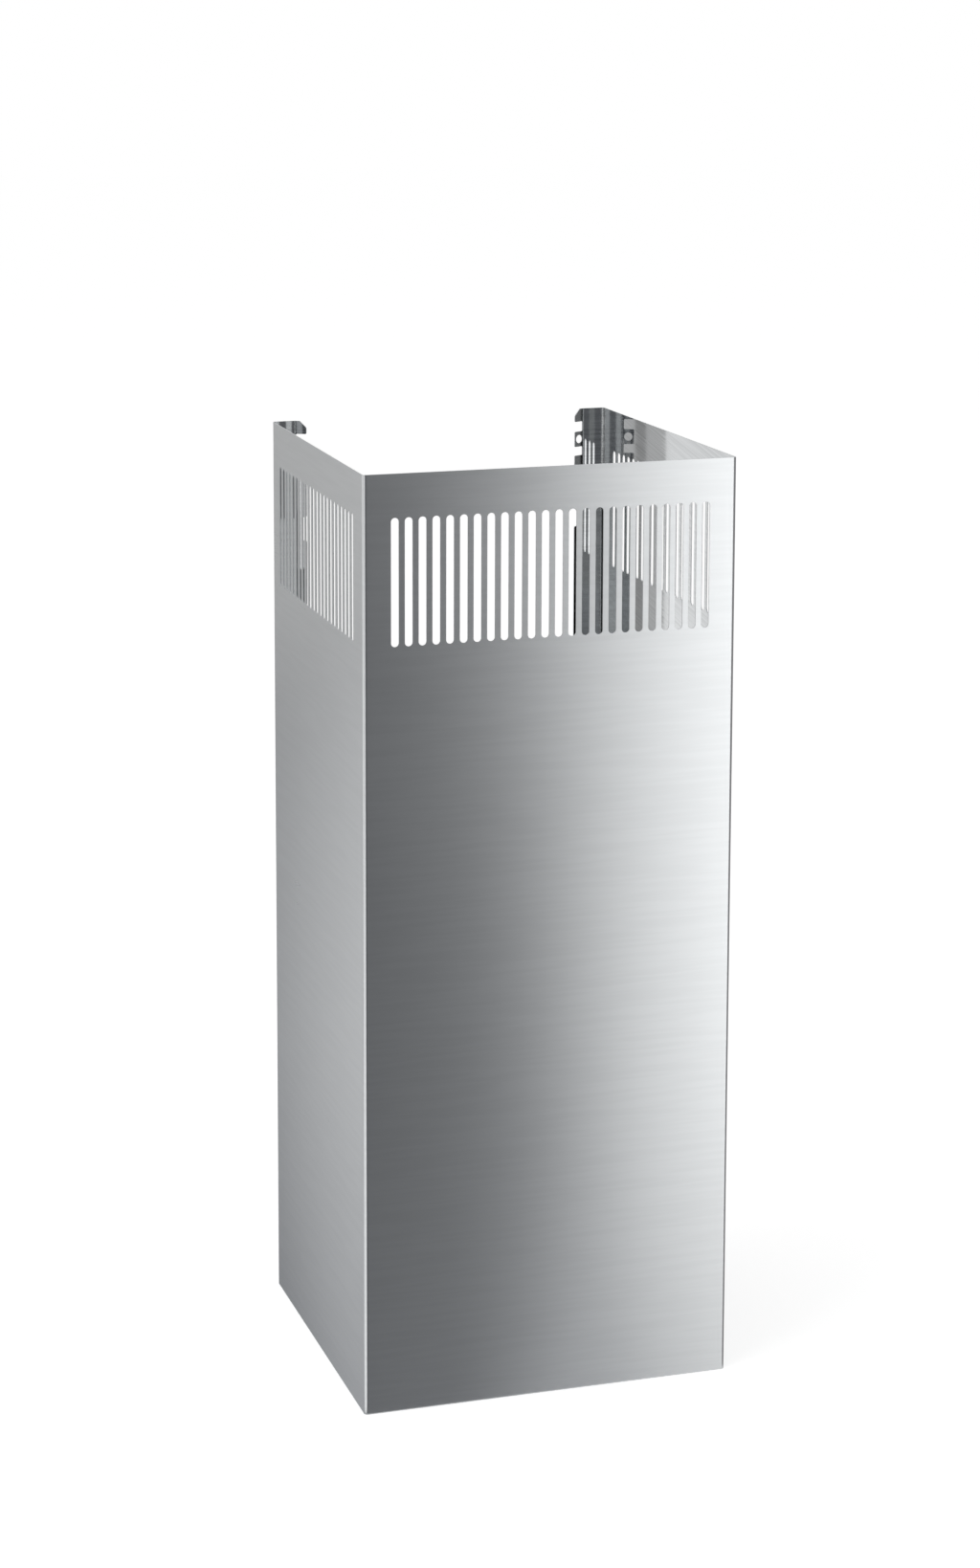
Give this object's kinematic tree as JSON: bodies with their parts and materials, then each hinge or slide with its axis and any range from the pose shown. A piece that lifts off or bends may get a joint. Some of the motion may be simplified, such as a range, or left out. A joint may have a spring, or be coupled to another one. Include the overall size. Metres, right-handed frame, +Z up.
{
  "type": "cooker hood chimney section",
  "caption": "Chimney section for a cooker hood: a stainless sheet folded into an upright channel, open at the back, with slotted vents near its top and lipped rear flanges.",
  "frame": {"origin": "height of the lower edge, in the middle of the overall width and depth", "axes": "+Z up from the lower edge to the slotted end, the front face looks along -Y and the open back along +Y, +X to the right as seen from the front"},
  "size_m": [0.3038, 0.29, 0.75],
  "materials": {
    "stainless_sheet": "fine level brushing outside, bright rolled inside"
  },
  "bodies": {
    "root": {"chimney_section": "stainless_sheet"}
  },
  "joints": []
}
